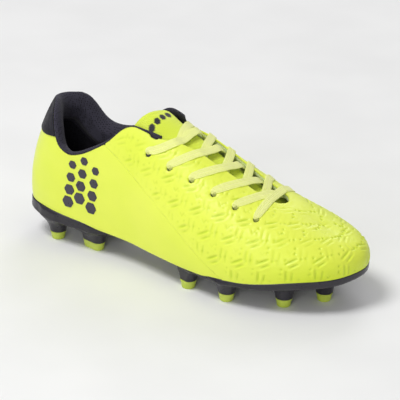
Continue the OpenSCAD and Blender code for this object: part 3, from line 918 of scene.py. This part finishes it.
def roll_rise(p):
    """How far the padded roll stands above the skin's edge."""
    return np.interp(p[..., 0], [0, 60, 86, 97, 105, 113, 118], [4.0, 3.6, 1.2, 1.0, 1.5, 2.1, 2.0])


def roll_width(p):
    return np.interp(p[..., 0], [0, 42, 56, 72, 86, 97, 118], [11.5, 11.0, 8.4, 3.8, 1.5, 0.8, 0.8])


def make_collar():
    t, s = grid(-4.75, 4.75, 440, 165, s0=0.18, s1=0.998)

    def gap(a, b):
        p = wall(a, b)
        return smooth_min(topline_distance(p) + roll_rise(p), 118 - p[..., 0], 0.5)

    t, s, f = trim(t, s, gap)
    p = wall(t, s)
    g = topline_distance(p)
    width, rise = roll_width(p), roll_rise(p)
    # above the skin's edge the roll is an arch; below it the padding thins towards the lining
    arch = np.sqrt(np.clip(1 - np.clip(-g / rise, 0, 1) ** 2, 0, 1))
    depth = width + (2.5 - width) * smoothstep((g - 8) / 16)
    middle = (ROLL_OUT - SKIN - width) / 2
    half = np.maximum((ROLL_OUT + SKIN + width) / 2 * arch, 0.02)
    outer = np.where(g > 0.2, -1.62, np.where(g > 0, -0.7, middle + half))
    inner = np.where(g > 0, -(SKIN + depth), middle - half)
    f = np.where((g > 27) & (f > 0), -1.0, f)
    obj = shell_from("collar_padding", ["collar_foam", "collar_lining"], t, s, f, outer, inner,
                     MAT["collar_knit"], 0.0)


def make_linings():
    t, s = grid(-5.6, 5.6, 260, 90, s0=0.0, s1=0.995)

    def heel_gap(a, b):
        p = wall(a, b)
        return smooth_min(topline_distance(p) - 1.2, -seam_gap(p) + 1.0, 0.4)

    def vamp_gap(a, b):
        p = wall(a, b)
        return smooth_min(opening_gap(p) - 0.35, seam_gap(p), 0.6)

    t, s, f = trim(t, s, heel_gap)
    p = wall(t, s)
    inner = -np.minimum(4.2, SKIN + roll_width(p) + np.clip(topline_distance(p) - 1.2, 0, 9) * 0.4)
    shell_from("heel_lining_knit", ["heel_lining", "heel_counter"], t, s, f, inner + 1.2, inner,
               MAT["dark_lining"], 0.3)
    t, s, f = trim(*grid(*VAMP_ENDS, 420, 110), vamp_gap)
    for centre in eyelets():
        t, s, f = cut_hole(t, s, f, centre, EYELET_R)
    nodes = ["vamp_lining", "upper_foam", "toe_puff", "eyestay_outer", "eyestay_inner"]
    shell_from("vamp_lining_knit", nodes, t, s, f, -SKIN, -4.2, MAT["lining_two_tone"],
               0.5, mirrored=True)


# ---------------------------------------------------------------- tongue
def instep(t, w, off=0.0):
    """A cross curve over the instep: w -1 on the outer wall, 0 on the ridge, 1 on the inner wall."""
    t, w, off = spread(t, w, off)
    flat = 0.12
    lean = np.clip((np.abs(w) - flat) / (1 - flat), 0, 1) * 0.6
    outer = wall(t, 1 - lean, off)
    inner = wall(STATIONS - t, 1 - lean, off)
    mid = np.clip((w / flat + 1) / 2, 0, 1)[..., None]
    ridge = outer * (1 - mid) + inner * mid
    return np.where((w < -flat)[..., None], outer, np.where((w > flat)[..., None], inner, ridge))


TONGUE_OUTLINE = rounded([
    (228, 6), (222, 18), (205, 24), (160, 26), (130, 24), (117, 21), (111, 18), (106, 11), (101.5, 3),
    (99.5, -5), (96, -13), (92.5, -19.5), (101, -22.3), (117, -22.5), (130, -23), (160, -19), (205, -12),
    (222, -6)], 4)


TONGUE_OFF, TONGUE_MARK = -6.0, 5.0


def make_tongue():
    def gap(a, b):
        return -outline_gap(instep(a, b, TONGUE_OFF), TONGUE_OUTLINE)

    a, b, f = trim(*grid(2.6, 9.6, 330, 130, -1, 1), gap)
    p = instep(a, b, TONGUE_OFF)
    g = np.clip(gap(a, b), 0, None)
    puff = np.sqrt(1 - (1 - np.clip(g / 5, 0, 1)) ** 2)
    top = np.clip((122 - p[..., 0]) / 10, 0, 1)
    quilt = 0.35 * np.exp(-((g - 4.2) / 0.7) ** 2)
    face = -7.9 + 1.9 * puff - quilt * (0.5 + 0.5 * top) + 0.5 * top * puff
    back = -8.1 - 1.6 * puff
    ridge = -2.4 * np.clip((b - 0.02) / 0.3, 0, 1) * np.clip((p[..., 0] - 108) / 14, 0, 1) * puff
    outer = instep(a, b, face + ridge)
    inner = instep(a, b, back + 0.6 * ridge)
    faces = cut_faces(f)
    verts, faces, used = shell(outer.reshape(-1, 3), inner.reshape(-1, 3), faces, 0.0)
    obj = make("tongue_padded", verts, faces, MAT["tongue_skin"], body=None,
               nodes=["tongue_face", "tongue_foam", "tongue_lining", "tongue_top_face", "tongue_top_foam",
                      "tongue_top_lining"])
    n = len(used)
    q = verts[:n]
    mark = np.zeros(n)
    for cx, cy in ((107.6, -14.4), (108.5, -8.5), (109.4, -2.6), (110.3, 3.3)):
        dx, dy = np.abs(q[:, 0] - cx), np.abs(q[:, 1] - cy)
        reach = np.maximum(dy, dx * COS30 + dy * 0.5)
        mark = np.maximum(mark, np.clip((TONGUE_MARK / 2 - reach) / 0.35, 0, 1))
    add_attribute(obj, "mark", np.concatenate([mark, np.zeros(n)]))
    add_attribute(obj, "lining", np.concatenate([np.zeros(n), np.ones(n)]))
    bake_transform(obj)


# ---------------------------------------------------------------- lace
LACE_W, LACE_T = 6.8, 1.1
LACE_UNDER, LACE_OVER = -5.1, 0.65
TUCK, TUCK_RISE = 2.2, 0.06
AXIS = np.array([0.88, 0, -0.47])
AXIS_AT = np.array([132.0, 4, 66])


def over_instep(p):
    """The way out from an axis that runs along inside the instep."""
    v, along = p - AXIS_AT, unit(AXIS)
    return unit(v - np.asarray(v @ along)[..., None] * along)


RIBBON_STEPS = 12


def ribbon(points, widths, weave_start):
    """A flat woven lace with rounded edges along a smooth path."""
    path = catmull(points, RIBBON_STEPS)
    width = catmull([[w] for w in widths], RIBBON_STEPS)[:, 0]
    along = unit(np.gradient(path, axis=0))
    up = over_instep(path)
    side = unit(np.cross(along, up))
    up = np.cross(side, along)
    length = np.concatenate([[0], np.cumsum(np.linalg.norm(np.diff(path, axis=0), axis=1))])
    section = []
    for sign in (1, -1):
        for x in np.linspace(0.93, -0.93, 8):
            section.append((sign * x, sign * (1 - 0.12 * x * x)))
        section += [(-sign * 0.985, sign * 0.62), (-sign, 0.0)]
    verts, uvs = [], []
    for i in range(len(path)):
        ripple = 0.10 * math.sin(length[i] * 0.55 + weave_start)
        for x, z in section:
            verts.append(path[i] + side[i] * x * width[i] / 2 + up[i] * (z * LACE_T / 2 + ripple * x * x))
            uvs.append((length[i] + weave_start, 0.5 + 0.5 * x))
    n = len(section)
    faces = tube_faces(len(path), n)
    faces.append(list(range(n))[::-1])
    faces.append([(len(path) - 1) * n + k for k in range(n)])
    return verts, uvs, faces


def throat_edge(t):
    """Height parameter at which the wall reaches the edge of the throat."""
    s = np.linspace(0.55, 0.99, 120)
    return s[(outline_gap(wall(t, s), THROAT_LINE) < 0.5).argmax()]


def lace_run(outer, k, reach):
    """Points of a lace from the flap's edge down into eyelet k, drifting forward by reach stations."""
    points = []
    for f in (1, 0.8, 0.55, 0.25):
        t = side_t(outer, eyelet_t(k + reach * f))
        top = throat_edge(t)
        points.append(wall(t, EYELET_S[k] + 0.02 + (top - EYELET_S[k] - 0.02) * f, LACE_OVER))
    t = side_t(outer, eyelet_t(k))
    for s, off in ((0.022, LACE_OVER - 0.5), (0.008, -2.0), (0, LACE_UNDER)):
        points.append(wall(t, EYELET_S[k] + s, off))
    return points


RUN_WIDTHS = [1, 1, 1, 0.95, 0.75, 0.5, 0.45]


def make_lace():
    last = len(EYELET_S) - 1
    tt, ww = np.meshgrid(np.linspace(3.8, 8.2, 360), np.linspace(-1, 1, 90), indexing="ij")
    tongue = instep(tt, ww, -4.1).reshape(-1, 3)

    def rest(p):
        """Lifts a point so that the lace lies on the tongue."""
        below = tongue[np.argmin(((tongue - p)[:, :2] ** 2).sum(1)), 2]
        return np.array([p[0], p[1], max(p[2], below)])

    parts = []
    for k in range(last):
        for outer, lift, drift, entry in ((True, 1.2, 0.9, 1.12), (False, 0.0, 0.45, 0.9)):
            a, a_in = (side_t(not outer, eyelet_t(k + f)) for f in (1, entry))
            top = throat_edge(a_in)
            edge_a = wall(a_in, top + 0.01, LACE_UNDER + 0.5)
            run = lace_run(outer, k, drift)
            across = []
            for f in (0.25, 0.5, 0.75):
                p = rest(edge_a + (run[0] - edge_a) * f)
                across.append(p + over_instep(p) * (0.5 + lift) * 4 * f * (1 - f))
            parts.append(([
                wall(a, EYELET_S[k + 1], LACE_UNDER), wall(a_in, (EYELET_S[k + 1] + top) / 2, LACE_UNDER),
                edge_a] + across + run, [0.5, 0.9, 1, 1, 1, 1] + RUN_WIDTHS))
    left, right = lace_run(True, last, 0.3), lace_run(False, last, 0.3)
    parts.append((left[::-1] + right, RUN_WIDTHS[::-1] + RUN_WIDTHS))
    for outer in (True, False):
        parts.append(([wall(side_t(outer, eyelet_t(0) + TUCK * f), EYELET_S[0] + TUCK_RISE * f, LACE_UNDER)
                       for f in np.linspace(0, 1, 6)], [0.5, 0.7, 0.7, 0.7, 0.7, 0.5]))
    verts, uvs, faces = [], [], []
    total = 0.0
    for i, (points, widths) in enumerate(parts):
        v, u, f = ribbon(points, [w * LACE_W for w in widths], 7.0 * i)
        total += u[-1][0] - 7.0 * i
        faces += [[j + len(verts) for j in face] for face in f]
        verts += v
        uvs += u
    obj = make("lace_woven", np.array(verts), faces, MAT["lace"], nodes=["lace"])
    layer = obj.data.uv_layers.new(name="weave")
    index = np.zeros(len(obj.data.loops), int)
    obj.data.loops.foreach_get("vertex_index", index)
    layer.data.foreach_set("uv", np.array(uvs)[index].astype(np.float32).ravel())
    print("lace modelled length mm:", round(total))


def make_aglets():
    for outer in (True, False):
        t = eyelet_t(0) + TUCK
        p = wall(side_t(outer, t), EYELET_S[0] + TUCK_RISE, LACE_UNDER)
        q = wall(side_t(outer, t + 0.4), EYELET_S[0] + TUCK_RISE + 0.01, LACE_UNDER)
        d = unit(q - p)
        e = unit(np.cross(d, [0, 0, 1.0]))
        g = np.cross(e, d)
        rings = [(0, 0.6), (0.15, 0.8), (15.0, 0.8), (15.7, 0.6), (16, 0.25)]
        per = 20
        verts = [p + d * x + (e * math.cos(a) + g * math.sin(a)) * r
                 for x, r in rings for a in np.arange(per) * 2 * math.pi / per]
        faces = tube_faces(len(rings), per)
        faces += [list(range(per))[::-1], list(range((len(rings) - 1) * per, len(rings) * per))]
        make("aglet_outer" if outer else "aglet_inner", np.array(verts), faces, MAT["aglet"],
             nodes=["aglets"])


# ---------------------------------------------------------------- sole
TIP_H, TIP_D, TIP_TOP_D, BLADE = 6.5, 10.0, 12.5, 9.0
STUD_R, STUD_FLARE, BLADE_SHARE = 6.4, 4.4, 0.86
# name, place, angle of a blade (none on a round stud), height where it meets the plate
STUDS = [
    ("heel_outer_rear", 26.8, -20, None, 18), ("heel_outer_front", 59.4, -18.9, 78, 17),
    ("heel_inner_rear", 27.5, 17, None, 18), ("heel_inner_front", 60, 15.5, -78, 17),
    ("ball_outer_rear", 154, -34.7, None, 17), ("ball_outer_front", 187.7, -36.5, None, 18),
    ("ball_inner_rear", 160, 27, None, 18), ("ball_inner_front", 192, 36, None, 18),
    ("ball_centre", 183, 0, None, 18), ("toe_outer", 226.7, -21, None, 19),
    ("toe_inner", 224, 32, None, 19), ("toe_front", 247, 3, None, 22),
]


def surface_net(v, origin, step):
    """Quads round the region where v is negative, one vertex in each mixed cell."""
    inside = v < 0
    shape = np.array(v.shape) - 1
    total, count = np.zeros((*shape, 3)), np.zeros(shape)
    base = np.stack(np.meshgrid(*[np.arange(n) for n in shape], indexing="ij"), -1)

    def part(a, offset):
        return a[tuple(slice(o, o + n) for o, n in zip(offset, shape))]

    for axis in range(3):
        for lo in itertools.product(*[(0,) if k == axis else (0, 1) for k in range(3)]):
            a, b = part(v, lo), part(v, [o + (k == axis) for k, o in enumerate(lo)])
            cross = (a < 0) != (b < 0)
            f = np.where(cross, a / np.where(cross, a - b, 1), 0)
            for k in range(3):
                total[..., k] += cross * (lo[k] + (f if k == axis else 0))
            count += cross
    live = count > 0
    index = np.full(shape, -1)
    index[live] = np.arange(live.sum())
    verts = (base[live] + total[live] / count[live][:, None]) * step + origin
    faces = []
    for axis in range(3):
        u, w = [(1, 2), (2, 0), (0, 1)][axis]
        lo = [slice(1, n) for n in shape]
        hi = [slice(1, n) for n in shape]
        lo[axis], hi[axis] = slice(0, shape[axis]), slice(1, shape[axis] + 1)
        a, b = inside[tuple(lo)], inside[tuple(hi)]
        for flip, where in ((False, a & ~b), (True, ~a & b)):
            at = np.argwhere(where)
            at = at + np.array([0 if k == axis else 1 for k in range(3)])
            corners = []
            for du, dw in ((0, 0), (-1, 0), (-1, -1), (0, -1)):
                c = at.copy()
                c[:, u] += du
                c[:, w] += dw
                corners.append(index[c[:, 0], c[:, 1], c[:, 2]])
            quad = np.stack(corners, 1)
            faces.append(quad[:, ::-1] if flip else quad)
    return verts, np.vstack(faces)


# the plate's side edge: how far it stands out at shares of its depth from the top
HEEL_EDGE = ([0, 0.06, 0.12, 0.5, 0.66, 0.72, 1.0, 1.2], [-0.1, 0.5, 0.4, 0.5, 0.8, 0.3, -4.2, -7])
FORE_EDGE = ([0, 0.1, 0.2, 0.62, 0.8, 1.0, 1.2], [-0.1, 0.5, 0.3, 0.1, -0.8, -4.0, -7])


def sole_field(step):
    """Signed distance, roughly, from the plate with its stud bases, on a grid of the given steps."""
    x = np.arange(-4, 281, step[0])
    y = np.arange(-51, 50, step[1])
    z = np.arange(5.2, 34.5, step[2])
    half = np.linspace(0, TOE_STATION, 401)
    outer, inner = row(half), row(STATIONS - half)
    gx, gy = np.meshgrid(x, y, indexing="ij")
    yo, yi = np.interp(x, outer[:, 0], outer[:, 1]), np.interp(x, inner[:, 0], inner[:, 1])
    w = smoothstep((gy - yo[:, None]) / np.maximum(yi - yo, 6)[:, None])

    def across(k):
        a, b = np.interp(x, outer[:, 0], outer[:, k]), np.interp(x, inner[:, 0], inner[:, k])
        return a[:, None] * (1 - w) + b[:, None] * w

    top, depth = across(2), across(10)
    ts = np.linspace(0, STATIONS, 241)[:-1]
    outline = feather(ts, -row(ts)[:, 11])[:, :2]
    plan = outline_gap(np.stack([gx, gy], -1), outline)
    # underside relief: a shallow field inside the rim, shank ribs and flex grooves
    under = 0.9 * np.clip((-plan - 5) / 2.5, 0, 1)
    waist = np.clip((gx - 76) / 12, 0, 1) * np.clip((142 - gx) / 12, 0, 1)
    centre = -2.0 + 4.0 * np.clip((gx - 90) / 60, 0, 1)
    for d in (-9.0, 0.0, 9.0):
        under -= 1.6 * waist * np.exp(-((gy - centre - d) / 1.5) ** 2)
    for at in (150, 171, 205, 236):
        bend = at + 0.006 * (gy - 2) ** 2
        under += 0.8 * np.exp(-((gx - bend) / 1.3) ** 2) * np.clip((-plan - 3) / 2, 0, 1)
    for rx, ry, radius, rise in ((43, -1.5, 9, 0.8), (205, 4, 12, 0.7)):
        under -= rise * np.exp(-((np.hypot(gx - rx, gy - ry) - radius) / 1.2) ** 2)
    base = top - depth
    heel = np.clip((92 - gx) / 14, 0, 1)
    v = np.empty((len(x), len(y), len(z)), np.float32)
    for k, height in enumerate(z):
        h = np.clip((top - height) / depth, 0, 1.2)
        shape = np.interp(h, *HEEL_EDGE) * heel + np.interp(h, *FORE_EDGE) * (1 - heel)
        body = -smooth_min(-(plan - shape), -np.maximum(height - top, base + under - height), 0.8)
        for _, sx, sy, blade, plate in STUDS:
            reach = STUD_R + STUD_FLARE * np.clip((height - TIP_H) / (plate - TIP_H), 0, 1.15) ** 1.7
            dx, dy = gx - sx, gy - sy
            if blade is not None:
                a = math.radians(blade - 90)
                lx, ly = dx * math.cos(a) + dy * math.sin(a), -dx * math.sin(a) + dy * math.cos(a)
                r = np.hypot(np.maximum(np.abs(lx) - BLADE / 2, 0), ly)
                reach = reach * BLADE_SHARE
            else:
                r = np.hypot(dx, dy)
            stud = np.maximum(r - reach, np.maximum(TIP_H - 0.15 - height, height - top + 3.2))
            stud = np.maximum(stud, plan - 0.3)
            body = smooth_min(body, stud, 4.5 if height > TIP_H + 3 else 0.4)
        v[:, :, k] = body
    return v, np.array([x[0], y[0], z[0]]), np.array(step)


def make_sole():
    verts, faces = surface_net(*sole_field((0.9, 0.9, 0.55)))
    make("outsole_moulded", verts, faces.tolist(), MAT["outsole"], nodes=["outsole_plate"])


def make_tip(name, sx, sy, blade):
    foot, shoulder, per = TIP_D / 2, TIP_TOP_D / 2, 64
    profile = ((0.35, 0.0), (0.35, foot - 1.7), (0.12, foot - 1.3), (0.0, foot - 1.0), (0.0, foot - 0.7),
               (0.18, foot - 0.2), (0.6, foot + 0.05), (2.4, foot + 0.35), (4.6, foot + 0.75),
               (5.9, shoulder - 0.1), (6.3, shoulder + 0.05), (TIP_H, shoulder - 0.15), (TIP_H, 0.0))
    verts = []
    for z, r in profile:
        for a in np.arange(per) * 2 * math.pi / per:
            if blade is None:
                x, y = r * math.cos(a), r * math.sin(a)
            else:
                x, y = r * 0.85 * math.cos(a), r * 0.85 * math.sin(a)
                x += math.copysign(BLADE / 2, math.cos(a)) if r > 0 else 0
                b = math.radians(blade - 90)
                x, y = x * math.cos(b) - y * math.sin(b), x * math.sin(b) + y * math.cos(b)
            verts.append((sx + x, sy + y, z))
    faces = [face[::-1] for face in tube_faces(len(profile), per)]
    obj = make("tip_" + name, verts, faces, MAT["stud_tip"], nodes=["stud_tip_" + name])
    weld(obj, 0.001)


# how far the top of an inner layer sinks in the middle
DISH = 0.72


def make_slab(name, node, off, z0, z1, material, body):
    """A flat inner layer with rounded edges, following the feather line."""
    ts = np.linspace(0, STATIONS, 321)[:-1]
    n, across = len(ts), 24
    rings = [feather(ts, off - inset) + [0, 0, z] for z, inset in (
        (z0, 0.6), (z0 + 0.25, 0.15), ((z0 + z1) / 2, 0.0), (z1 - 0.3, 0.15), (z1, 0.8))]
    verts = [np.vstack(rings)]
    faces = tube_faces(len(rings), n)
    w = np.linspace(0, 1, across)[None, :, None]
    for ring, top in ((rings[0], False), (rings[-1], True)):
        start = sum(len(v) for v in verts)
        left, right = ring[:n // 2 + 1], np.vstack([ring[0], ring[::-1][:n // 2]])
        sheet = left[:, None] * (1 - w) + right[:, None] * w
        if top:
            sheet[..., 2] -= DISH * np.sin(math.pi * w[..., 0])
        verts.append(sheet.reshape(-1, 3))
        for i in range(n // 2):
            for a in range(start + i * across, start + (i + 1) * across - 1):
                face = [a, a + across, a + across + 1, a + 1]
                faces.append(face if top else face[::-1])
    obj = make(name, np.vstack(verts), faces, material, body=body, nodes=[node])
    weld(obj, 0.02)


# ---------------------------------------------------------------- build
make_vamp()
make_quarter("quarter_outer_skin", "quarter_outer", 0.0, 7.2)
make_quarter("quarter_inner_skin", "quarter_inner", STATIONS - 7.2, STATIONS)
make_heel_patch()
make_film("film_outer", "side_film_outer", 1.4, 3.8)
make_film("film_inner", "side_film_inner", STATIONS - 3.8, STATIONS - 1.4)
make_collar()
make_linings()
make_tongue()
make_lace()
make_aglets()
make_sole()
for stud in STUDS:
    make_tip(*stud[:4])
make_slab("board_formed", "insole_board", -4.5, 0.1, 2.0, MAT["board"], "shoe")
make_slab("sockliner_formed", "sockliner", -5.4, 2.1, 5.0, MAT["sockliner"], "sockliner")


# ---------------------------------------------------------------- stage, light, camera
def add_stage():
    bpy.ops.mesh.primitive_plane_add(size=12, location=(0, 0, 0))
    floor = bpy.context.object
    floor.name = "floor"
    m = Material("floor_paper", 0.9, Specular_IOR_Level=0.1)
    m.colour(m.mix(m.span(m.noise(0.01, 2), 0.3, 0.7), rgb(236, 236, 236), rgb(240, 240, 240)))
    m.bump(m.noise(0.8, 3), 0.05, 0.3)
    floor.data.materials.append(m.mat)


def add_light(name, location, size, power, aim=(0, 0, 0.05)):
    lamp = bpy.data.lights.new(name, "AREA")
    lamp.shape = "DISK"
    lamp.size = size
    lamp.energy = power
    obj = bpy.data.objects.new(name, lamp)
    obj.location = location
    obj.rotation_euler = (Vector(aim) - Vector(location)).to_track_quat("-Z", "Y").to_euler()
    bpy.context.scene.collection.objects.link(obj)


AZIMUTH, ELEVATION, ROLL, DISTANCE = 31, 25, -1.3, 1.49
LENS, SENSOR = 180.63, 36


def add_camera():
    az, el, roll = (math.radians(a) for a in (AZIMUTH, ELEVATION, ROLL))
    target = Vector(((141 - CENTRE[0]) * MM, -CENTRE[1] * MM, 0.05))
    right = Vector((math.cos(az), math.sin(az), 0))
    back = Vector((math.sin(az) * math.cos(el), -math.cos(az) * math.cos(el), math.sin(el)))
    up = back.cross(right)
    x = right * math.cos(roll) - up * math.sin(roll)
    y = right * math.sin(roll) + up * math.cos(roll)
    data = bpy.data.cameras.new("camera")
    data.lens, data.sensor_width = LENS, SENSOR
    data.shift_x, data.shift_y = 0.0015, 0.0104
    data.clip_end = 50
    obj = bpy.data.objects.new("camera", data)
    turn = Matrix((x, y, back)).transposed().to_4x4()
    obj.matrix_world = Matrix.Translation(target + back * DISTANCE) @ turn
    bpy.context.scene.collection.objects.link(obj)
    bpy.context.scene.camera = obj


add_stage()
add_light("key", (-0.35, -0.7, 1.6), 0.7, 17)
add_light("fill", (0.5, -1.7, 0.7), 1.0, 8)
add_light("rim", (-0.4, 1.3, 1.1), 1.0, 7)
world = bpy.data.worlds.new("studio")
world.use_nodes = True
glow = world.node_tree.nodes["Background"].inputs
glow["Color"].default_value = (1, 1, 1, 1)
glow["Strength"].default_value = 0.36
bpy.context.scene.world = world
bpy.context.scene.view_settings.view_transform = "Standard"
add_camera()
